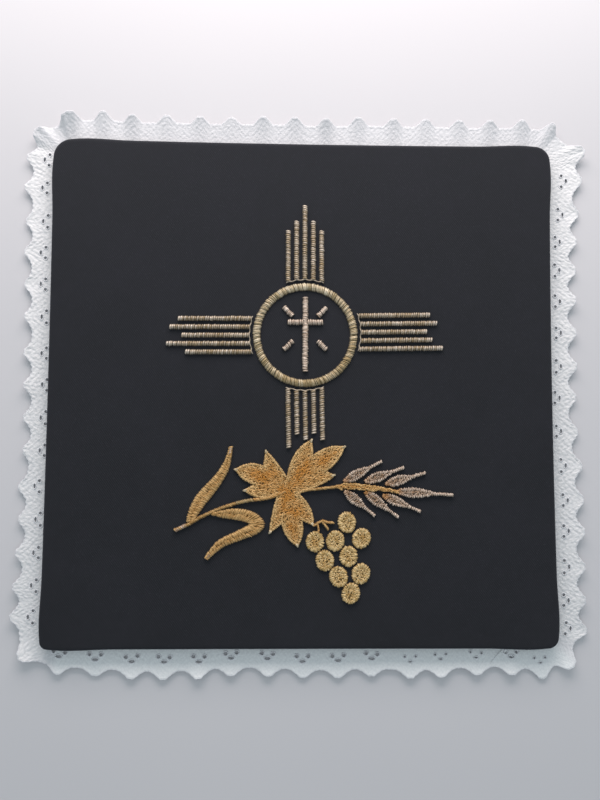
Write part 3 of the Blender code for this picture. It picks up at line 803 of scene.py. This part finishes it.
# Painted light: the threads are painted paler towards the top of the ring, which faces the window, on top of their
# random tones; their warmth grows towards the bottom.
ring_tones_with_painted_light = 0.42 + 0.12 * np.sin(ring_angles) + RNG.normal(0, 0.3, hump[-1] + 1)[hump]
ring_warmth = np.clip(0.38 - 0.2 * np.sin(ring_angles) + RNG.normal(0, 0.12, hump[-1] + 1)[hump], 0, 1)
ring_group = laid(around(RING_CENTRE, RING_INNER, ring_angles - ring_lean),
                  around(RING_CENTRE, RING_OUTER, ring_angles + ring_lean), crown=ring_crown, width=0.43, lap=0.06,
                  rough=0.07, bow=2.0, tones=ring_tones_with_painted_light, warmth=ring_warmth)
ring_turn = np.linspace(0, 2 * np.pi, 121)
ring_bed = bed_between(around(RING_CENTRE, RING_INNER, ring_turn), around(RING_CENTRE, RING_OUTER, ring_turn))
add_piece("ring_threads", thread_mesh("ring_threads", [ring_group], [ring_bed]), PALE_GOLD, "ring",
          slot_name="pale_gold_thread")

# The bars stand round the ring as a large cross of rays, five on each side. Each is satin stitch over a
# narrow cord, worked in twos from its foot to its tip, and one thin travelling thread joins the feet of five.

BAR_PITCH = 0.65
BAR_GROWTH = -0.04
BAR_SLANT = 0.3
FOOT_FLARE = 0.65
ARMS = (("top", 90.2), ("left", 180.5), ("bottom", 271.2), ("right", 1.2))


def sides_of(node, start, growth=0.0):
    """The two long sides of a bar or grain, cut at its narrow ends, both running from the end nearest start."""
    loop = widest_runs(node)[0]
    gaps = np.linalg.norm(np.roll(loop, -1, axis=0) - loop, axis=1)
    half = len(loop) // 2
    cut = int(np.argmin(gaps[:half] + gaps[half:2 * half])) + 1
    loop = np.roll(loop, -cut, axis=0)
    sides = [loop[:half], loop[half:][::-1]]
    if np.linalg.norm(sides[0][0] - start) > np.linalg.norm(sides[0][-1] - start):
        sides = [side[::-1] for side in sides]
    first, second = (smooth_run(side) for side in sides)
    outward = (first - second) / (np.linalg.norm(first - second, axis=1)[:, None] + 1e-9)
    return first + outward * growth, second - outward * growth


DULL_GOLD = gold_thread("dull_gold", from_srgb(54, 38, 20), from_srgb(137, 119, 87), from_srgb(231, 219, 205),
                        from_srgb(166, 136, 88))

foot_groups = []
for arm, angle in ARMS:
    feet = []
    for index in range(1, 6):
        node = f"bar_{arm}_{index}"
        rails = sides_of(node, RING_CENTRE, BAR_GROWTH)
        feet.append((rails[0][0] + rails[1][0]) / 2)
        group = satin(rails, BAR_PITCH, slant=BAR_SLANT, width=0.62, thick=0.5, crown=THREAD_CROWN + 0.06, bow=1.9,
                      rough=0.05, lap=0.04)
        beads = np.arange(len(group[3])) % 2
        drift = 0.12 * np.sin(np.arange(len(beads)) * 0.35 + 2 * index)
        group[3][:] = np.clip(group[3] * 0.5 + (beads * 0.35 - 0.05 + drift)[:, None], 0, 1)
        group[3][-2:] = 0.9
        group[4][:] = np.clip(0.3 - drift, 0, 1)[:, None]
        # The padding spreads out past the stitches, and the threads' painted low shade makes it show as a dark brown
        # rim beside each bar.
        add_piece(f"{node}_threads", thread_mesh(f"{node}_threads", [group], [bed_between(*rails, spread=0.26)]),
                  DULL_GOLD, node, slot_name="pale_gold_thread")
    feet = np.array(sorted(feet, key=lambda foot: math.atan2(*(foot - RING_CENTRE)[::-1]) % (2 * math.pi)))
    if arm == "right":
        feet = np.array(sorted(feet, key=lambda foot: foot[1]))
    along = (feet[-1] - feet[0]) / np.linalg.norm(feet[-1] - feet[0])
    out = (feet[2] - RING_CENTRE) / np.linalg.norm(feet[2] - RING_CENTRE)
    route = [feet[0] - along * FOOT_FLARE - out * 0.45]
    for foot, after in zip(feet, feet[1:]):
        route += [foot - out * 0.1, (foot + after) / 2 - out * 0.3]
    route += [feet[-1] - out * 0.1, feet[-1] + along * FOOT_FLARE - out * 0.45]
    route = smooth_run(route, 6)
    level = CLOTH_TOP + 0.28 + 0.3 * np.abs(np.sin(np.linspace(0, 5 * np.pi, len(route))))
    foot_groups.append(one_cord(np.column_stack([route, level]), 0.4, 0.36, tone=0.4))
add_piece("foot_threads", thread_mesh("foot_threads", foot_groups), DULL_GOLD, slot_name="pale_gold_thread")

# The small cross inside the ring is rose-silver satin stitch, with a short slanting ray in each corner.

ROSE_SILVER = gold_thread("rose_silver", from_srgb(46, 30, 20), from_srgb(137, 110, 84), from_srgb(246, 229, 212),
                          from_srgb(180, 128, 70))

cross_loop = widest_runs("cross")[0]
stroke = np.sort(np.unique(np.round(cross_loop[:, 0], 2)))
levels = np.sort(np.unique(np.round(cross_loop[:, 1], 2)))
cross_groups, cross_beds = [], []
for left, right, low, high in ((stroke[1], stroke[-2], levels[0], levels[-1]),
                               (stroke[0], stroke[1], levels[1], levels[2]),
                               (stroke[-2], stroke[-1], levels[1], levels[2])):
    upright = high - low > right - left
    ends = np.linspace(0, 1, 9)[:, None]
    if upright:
        rails = [np.array((x, low)) * (1 - ends) + np.array((x, high)) * ends for x in (left, right)]
    else:
        rails = [np.array((left, y)) * (1 - ends) + np.array((right, y)) * ends for y in (low, high)]
    cross_groups.append(satin(rails, 0.5, width=0.52, thick=0.4, crown=THREAD_CROWN + 0.04, bow=2.1, tones=0.55))
    cross_beds.append(bed_between(*rails))
add_piece("cross_threads", thread_mesh("cross_threads", cross_groups, cross_beds), ROSE_SILVER, "cross",
          slot_name="rose_silver_thread")
for index in range(1, 5):
    node = f"ray_{index}"
    rails = sides_of(node, RING_CENTRE)
    group = satin(rails, 0.5, width=0.52, thick=0.4, crown=THREAD_CROWN + 0.04, bow=2.1, tones=0.55)
    add_piece(f"{node}_threads", thread_mesh(f"{node}_threads", [group], [bed_between(*rails)]), ROSE_SILVER, node,
              slot_name="rose_silver_thread")

# The vine leaf has a thin satin-stitched rim round a filling of short stitches that run along its lobes, in
# warm gold, more orange in the middle of each lobe where the dye shows.

WARM_GOLD = gold_thread("warm_gold", from_srgb(74, 45, 14), from_srgb(150, 112, 53), from_srgb(245, 208, 147),
                        from_srgb(194, 130, 42))
LEAF_HEART = np.array((-4.8, -31.2))
LEAF_STEP = 0.58
RIM_PITCH = 0.37
POINT_TURN = 0.35


def inside(points, loop):
    """Which points lie inside a closed loop."""
    x, y = points[:, 0][:, None], points[:, 1][:, None]
    x0, y0 = loop[:, 0][None], loop[:, 1][None]
    x1, y1 = np.roll(loop[:, 0], -1)[None], np.roll(loop[:, 1], -1)[None]
    spans = (y0 > y) != (y1 > y)
    with np.errstate(divide="ignore", invalid="ignore"):
        cut = x0 + (y - y0) / (y1 - y0) * (x1 - x0)
    return (spans & (x < cut)).sum(axis=1) % 2 == 1


def padding_under(node, share=1.0):
    """The padding that a filled shape is worked over: the node's own form, lower and set into the cloth."""
    body = joined_solid(node)
    body.verts.index_update()
    corners = np.array([vertex.co[:] for vertex in body.verts]) / MM
    low, high = corners[:, 2].min(), corners[:, 2].max()
    corners[:, 2] = CLOTH_TOP - 0.05 + (corners[:, 2] - low) / (high - low) * (PADDING_TOP + 0.05)
    middle = corners[:, :2].mean(axis=0)
    corners[:, :2] = middle + (corners[:, :2] - middle) * share
    faces = [[vertex.index for vertex in face.verts] for face in body.faces]
    body.free()
    return corners, faces


def rim_stitches(loop, pitch, depth, uneven=0.0, **ways):
    """Satin stitches across the edge of a filled shape, from its outline inward."""
    closed = np.vstack([loop, loop[:1]])
    lengths = lengths_along(closed)
    places = np.arange(0, lengths[-1], pitch)
    spots = take(closed, lengths, places)
    ahead = take(closed, lengths, (places + 0.3) % lengths[-1]) - take(closed, lengths, (places - 0.3) % lengths[-1])
    ahead /= np.linalg.norm(ahead, axis=1)[:, None] + 1e-9
    left = np.column_stack([-ahead[:, 1], ahead[:, 0]])
    inward = np.where(inside(spots + left * 0.2, loop)[:, None], left, -left)
    return laid(spots, spots + inward * depth * RNG.uniform(1 - uneven, 1 + uneven, (len(spots), 1)), **ways)


def seed_stitches(loop, step, length, heading, margin, wander=0.6, warm=1.0, **ways):
    """Short stitches over a filled shape, running every way round a main direction, warmest far from its edge."""
    low, high = loop.min(axis=0), loop.max(axis=0)
    x, y = np.meshgrid(np.arange(low[0], high[0], step), np.arange(low[1], high[1], step * 0.75))
    spots = np.column_stack([x.ravel(), y.ravel()]) + RNG.uniform(-step / 2, step / 2, (x.size, 2))
    edge = np.linalg.norm(spots[:, None] - loop[None], axis=2).min(axis=1)
    held = inside(spots, loop) & (edge > margin)
    spots, edge = spots[held], edge[held]
    angles = heading(spots) + RNG.normal(0, wander, len(spots))
    reach = np.column_stack([np.cos(angles), np.sin(angles)]) * length * RNG.uniform(0.35, 0.65, (len(spots), 1))
    warmth = np.clip((edge - margin) / 2.2, 0, 1) * warm + RNG.normal(0, 0.12, len(spots))
    first, second = (np.where(inside(end, loop)[:, None], end, spots + (end - spots) * 0.3)
                     for end in (spots - reach, spots + reach))
    return laid(first, second, warmth=np.clip(warmth, 0, 1), **ways)


def points_of(knots):
    """The points of a leaf: its sharp outward corners, and the way that each one points."""
    before, after = knots - np.roll(knots, 1, axis=0), np.roll(knots, -1, axis=0) - knots
    before /= np.linalg.norm(before, axis=1)[:, None]
    after /= np.linalg.norm(after, axis=1)[:, None]
    turned = before[:, 0] * after[:, 1] - before[:, 1] * after[:, 0]
    sharp = ((before * after).sum(axis=1) < POINT_TURN) & (turned * turned.sum() > 0)
    out = (before - after)[sharp]
    return knots[sharp], out / np.linalg.norm(out, axis=1)[:, None]


leaf_knots = widest_runs("leaf")[0]
leaf_loop = smooth_run(leaf_knots, 5, closed=True)[:-1]
leaf_fill = seed_stitches(leaf_loop, LEAF_STEP, 1.8, lambda spots: np.arctan2(*(spots - LEAF_HEART).T[::-1]), 0.4,
                          wander=0.75, warm=0.9, crown=0.72, width=0.36, thick=0.28, lap=0.0, rough=0.1, stations=5)
leaf_rim = rim_stitches(leaf_loop, RIM_PITCH, 0.65, crown=0.74, width=0.38, thick=0.28, lap=0.05, rough=0.05,
                        stations=7, tones=0.65)
tips, tip_ways = points_of(leaf_knots)
beside = np.column_stack([-tip_ways[:, 1], tip_ways[:, 0]]) * 0.22
leaf_points = laid(np.vstack([tips - tip_ways * 1.1 + beside, tips - tip_ways * 1.1 - beside]),
                   np.vstack([tips + tip_ways * 0.1 + beside * 0.5, tips + tip_ways * 0.1 - beside * 0.5]),
                   crown=0.86, width=0.45, thick=0.36, rough=0.05, stations=7, tones=0.4, warmth=0.3)
add_piece("leaf_points", thread_mesh("leaf_points", [leaf_points]), PALE_GOLD, slot_name="warm_gold_thread")
add_piece("leaf_filling", thread_mesh("leaf_filling", [leaf_fill], [padding_under("leaf")]), WARM_GOLD, "leaf",
          slot_name="warm_gold_thread")
add_piece("leaf_rim", thread_mesh("leaf_rim", [leaf_rim]), WARM_GOLD, slot_name="warm_gold_thread")

# The stem, the wheat's stalk and the tendril are corded: close slanting stitches over a thin core. The stem
# runs on under the leaf's lower edge to its heart, and the tendril has a fork and a thread to the nearest grape.

CORD_PITCH = 0.42
CORD_SLANT = 0.75

# Columns: the piece's name, the node it stands for, its thread, its width, its tone and warmth, and its route
CORDS = (
    ("stem", "stem", WARM_GOLD, 0.95, 0.12, 0.05,
     ((-39.4, -43.8), (-36.0, -42.3), (-30.4, -39.2), (-24.5, -36.7), (-20.5, -35.4))),
    ("stem_foot", None, ROSE_SILVER, 1.05, 0.25, 0.3, ((-39.3, -43.9), (-37.6, -43.0), (-35.7, -42.1))),
    ("stem_knot", None, PALE_GOLD, 1.0, 0.0, 0.8, ((-20.5, -35.4), (-17.5, -34.7), (-15.2, -34.3))),
    ("stem_end", None, WARM_GOLD, 1.0, 0.4, 0.35, ((-15.2, -34.3), (-11.5, -33.9), (-8.0, -32.9), (-5.2, -31.6))),
    ("stalk", "stalk", WARM_GOLD, 0.75, 0.35, 0.15, ((-0.3, -31.4), (5.0, -30.9), (11.5, -30.2))),
    ("tendril", "tendril", WARM_GOLD, 0.65, 0.4, 0.3,
     ((3.3, -42.4), (4.9, -41.3), (6.4, -40.7), (7.7, -41.2), (9.8, -41.3))),
    ("tendril_fork", None, WARM_GOLD, 0.6, 0.4, 0.1, ((6.1, -41.0), (7.2, -42.3), (8.1, -43.5))),
    ("grape_thread", None, WARM_GOLD, 0.5, 0.4, 0.5, ((4.6, -41.8), (5.0, -43.2), (4.9, -44.6))),
    ("upper_tip", None, ROSE_SILVER, 0.8, 0.3, 0.25, ((-22.8, -20.4), (-22.5, -19.3), (-22.3, -18.2))),
    ("lower_tip", None, ROSE_SILVER, 0.9, 0.3, 0.25, ((-28.3, -50.9), (-28.9, -51.7), (-29.6, -52.5))),
)


def beside_route(route, width):
    """Two rails beside a route. The width may change along it."""
    middle = smooth_run(route)
    ahead = np.gradient(middle, axis=0)
    ahead /= np.linalg.norm(ahead, axis=1)[:, None] + 1e-9
    side = np.column_stack([-ahead[:, 1], ahead[:, 0]]) * np.reshape(width, (-1, 1)) / 2
    return middle + side, middle - side


for name, node, gold, width, tone, warmth, route in CORDS:
    rails = beside_route(route, width)
    group = satin(rails, CORD_PITCH, slant=CORD_SLANT, width=0.42, thick=0.34, crown=0.85, rough=0.04, bow=2.0,
                  lap=0.02, tones=tone, warmth=warmth)
    add_piece(f"{name}_threads", thread_mesh(f"{name}_threads", [group], [bed_between(*rails, spread=0.02)]),
              gold, *([node] if node else []), slot_name="warm_gold_thread")

# The two blades of the wheat are fine flat satin stitch in warm gold, slanting from edge to edge. The lower
# one is folded back on itself, so its inner stitches all meet in the crease.

BLADE_PITCH = 0.36
BLADE_SPAN = (0.42, 0.8)

# Columns: the node, how far its stitches slant, and its outer and inner rail from root to tip
BLADES = (
    ("blade_upper", 0.5,
     ((-35.8, -41.2), (-35.4, -38.6), (-33.8, -34.6), (-31.6, -31.5), (-28.6, -28.4), (-26.2, -25.5),
      (-24.6, -23.0), (-23.6, -20.6), (-22.9, -17.9)),
     ((-33.6, -41.0), (-32.6, -39.6), (-30.6, -36.6), (-28.3, -33.7), (-26.0, -30.6), (-24.1, -27.6),
      (-22.8, -24.6), (-22.2, -21.6), (-21.8, -18.0))),
    ("blade_lower", -0.4,
     ((-27.6, -38.2), (-25.2, -37.6), (-21.2, -37.0), (-17.4, -37.4), (-14.4, -38.5), (-12.4, -40.2), (-11.6, -41.9),
      (-12.1, -43.3), (-14.2, -44.9), (-17.5, -46.2), (-21.4, -47.6), (-24.6, -49.0), (-26.8, -50.7), (-28.9, -52.6)),
     ((-28.0, -39.0), (-25.6, -39.7), (-22.4, -40.3), (-19.6, -40.7), (-17.5, -41.2), (-16.6, -41.5), (-16.3, -41.7),
      (-16.6, -42.0), (-17.8, -42.7), (-20.0, -43.8), (-23.1, -45.3), (-25.9, -46.8), (-28.3, -49.4), (-30.2, -52.3))),
)

for node, slant, outer, inner in BLADES:
    rails = smooth_run(outer, 8), smooth_run(inner, 8)
    # Both edges of each blade carry the painted highlight, since the stitches start from each of them.
    groups = [satin(way, BLADE_PITCH, slant=tilt, span=BLADE_SPAN, width=0.4, thick=0.32, crown=0.78, rough=0.06,
                    bow=2.6, lap=0.0, tones=0.22, warmth=0.2, pale_start=0.5)
              for way, tilt in ((rails, slant), (rails[::-1], -slant))]
    add_piece(f"{node}_threads", thread_mesh(f"{node}_threads", groups, [bed_between(*rails, spread=0.0)]),
              WARM_GOLD, node, slot_name="warm_gold_thread")

# The ear of wheat has seven grains in rose-silver, each running out into a thin ragged awn. A thick orange
# cord runs down the ear and covers their roots.

AWN_WIDTH = 0.8
GRAIN_GROWTH = -0.08

for index in range(1, 8):
    node = f"grain_{index}"
    first, second = sides_of(node, (10.0, -30.2), GRAIN_GROWTH)
    middle, reach = (first + second) / 2, (first - second) / 2
    half = np.linalg.norm(reach, axis=1)[:, None]
    reach = reach / (half + 1e-9) * np.maximum(half, AWN_WIDTH / 2)
    rails = middle + reach, middle - reach
    grain_loop = np.vstack([rails[0], rails[1][::-1]])
    lengthwise = math.atan2(*(middle[-1] - middle[0])[::-1])
    fill = seed_stitches(grain_loop, 0.6, 1.1, lambda spots: np.full(len(spots), lengthwise + 0.9), 0.3, warm=0.6,
                         crown=0.8, width=0.36, thick=0.3, lap=0.0, stations=5, tones=0.15)
    edging = rim_stitches(grain_loop, 0.58, 0.7, crown=0.78, width=0.44, thick=0.38, lap=0.0, rough=0.08, stations=7,
                          tones=0.6, warmth=0.1)
    for group in (fill, edging):
        nearness = np.linalg.norm(group[0][:, 2, :2] - middle[0], axis=1)
        group[4][:] = np.clip(group[4] + np.clip(1.2 - nearness / 2.5, 0, 1)[:, None], 0, 1)
    add_piece(f"{node}_threads", thread_mesh(f"{node}_threads", [fill, edging], [bed_between(*rails, spread=0.0)]),
              ROSE_SILVER, node, slot_name="rose_silver_thread")

EAR_ROUTE = ((10.4, -30.3), (14.8, -30.1), (19.0, -30.3), (23.2, -30.7), (26.8, -31.2), (30.0, -31.8))
ear_width = np.interp(np.linspace(0, 1, 8 * (len(EAR_ROUTE) - 1) + 1), (0, 0.1, 0.5, 1), (1.2, 2.0, 1.9, 1.0))
rails = beside_route(EAR_ROUTE, ear_width)
ear_loop = np.vstack([rails[0], rails[1][::-1]])
fill = seed_stitches(ear_loop, 0.46, 1.2, lambda spots: np.zeros(len(spots)), 0.2, wander=0.5, warm=2.2,
                     crown=1.0, width=0.4, thick=0.34, lap=0.0, stations=5, tones=0.35)
add_piece("ear_threads", thread_mesh("ear_threads", [fill], [bed_between(*rails, spread=0.0)]), WARM_GOLD,
          slot_name="warm_gold_thread")

# The grapes are nine small cushions in straw gold: a rim of radial stitches round a speckled filling.

STRAW_GOLD = gold_thread("straw_gold", from_srgb(74, 50, 15), from_srgb(164, 129, 59), from_srgb(243, 216, 163),
                         from_srgb(196, 142, 58))
GRAPE_GROWTH = 1.03
NEAR_GRAPE = 4

for index in range(1, 10):
    node = f"grape_{index}"
    grape_loop = smooth_run(widest_runs(node)[0], 6, closed=True)[:-1]
    middle = grape_loop.mean(axis=0)
    grape_loop = middle + (grape_loop - middle) * GRAPE_GROWTH
    warm = 1.0 if index == NEAR_GRAPE else 0.35
    fill = seed_stitches(grape_loop, 0.62, 1.6, lambda spots: np.full(len(spots), 0.4), 0.7, wander=1.2, warm=warm,
                         crown=0.76, width=0.36, thick=0.28, lap=0.0, stations=5)
    rim_group = rim_stitches(grape_loop, 0.48, 1.3, uneven=0.4, crown=0.74, width=0.5, thick=0.34, lap=0.0,
                             rough=0.08, stations=7, warmth=0.1)
    add_piece(f"{node}_threads", thread_mesh(f"{node}_threads", [fill, rim_group], [padding_under(node)]),
              STRAW_GOLD, node, slot_name="straw_gold_thread")

# The pall lies on a plain pale table under soft light from beyond its top edge.

TABLE_HALF = 0.9


def pale_table():
    finish, dye, shader = new_finish("pale_table", Roughness=0.85, Specular_IOR_Level=0.2)
    cloud = noise(dye, 9.0, 3.0)
    feed(shader, Base_Color=(cloud * 0.5).mixed(from_srgb(214, 213, 215), from_srgb(207, 206, 209)))
    return finish


bpy.ops.mesh.primitive_grid_add(x_subdivisions=8, y_subdivisions=8, size=2 * TABLE_HALF, location=(0, 0, 0))
table = bpy.context.object
table.name = "table"
table.data.materials.append(pale_table())


def add_light(name, place, target, size, energy, colour):
    lamp = bpy.data.lights.new(name, "AREA")
    lamp.shape = "RECTANGLE"
    lamp.size, lamp.size_y = size
    lamp.energy = energy
    lamp.color = colour
    light = bpy.data.objects.new(name, lamp)
    bpy.context.scene.collection.objects.link(light)
    light.location = place
    light.rotation_euler = (Vector(target) - Vector(place)).to_track_quat("-Z", "Y").to_euler()


add_light("window", (-0.005, 0.30, 0.15), (0, 0, 0), (0.4, 0.16), 1.36, (1.0, 0.905, 0.89))

world = bpy.data.worlds.new("room")
bpy.context.scene.world = world
world.use_nodes = True
world.node_tree.nodes["Background"].inputs["Color"].default_value = (0.875, 0.975, 1.04, 1.0)
world.node_tree.nodes["Background"].inputs["Strength"].default_value = 0.525

bpy.context.scene.view_settings.view_transform = "Standard"

CAMERA_PLACE = Vector((-0.0074, -0.0194, 0.2319))
CAMERA_AIM = Vector((0.0283, 0.0706, -0.9971))
CAMERA_UP = Vector((-0.0072, 0.9975, 0.0704))
CAMERA_LENS = 32.8

lens = bpy.data.cameras.new("camera")
lens.lens = CAMERA_LENS
lens.clip_start = 0.01
camera = bpy.data.objects.new("camera", lens)
bpy.context.scene.collection.objects.link(camera)
right = CAMERA_AIM.cross(CAMERA_UP).normalized()
up = right.cross(CAMERA_AIM).normalized()
turn = camera.matrix_world.to_3x3()
turn.col[0], turn.col[1], turn.col[2] = right, up, -CAMERA_AIM.normalized()
camera.matrix_world = turn.to_4x4()
camera.location = CAMERA_PLACE
bpy.context.scene.camera = camera
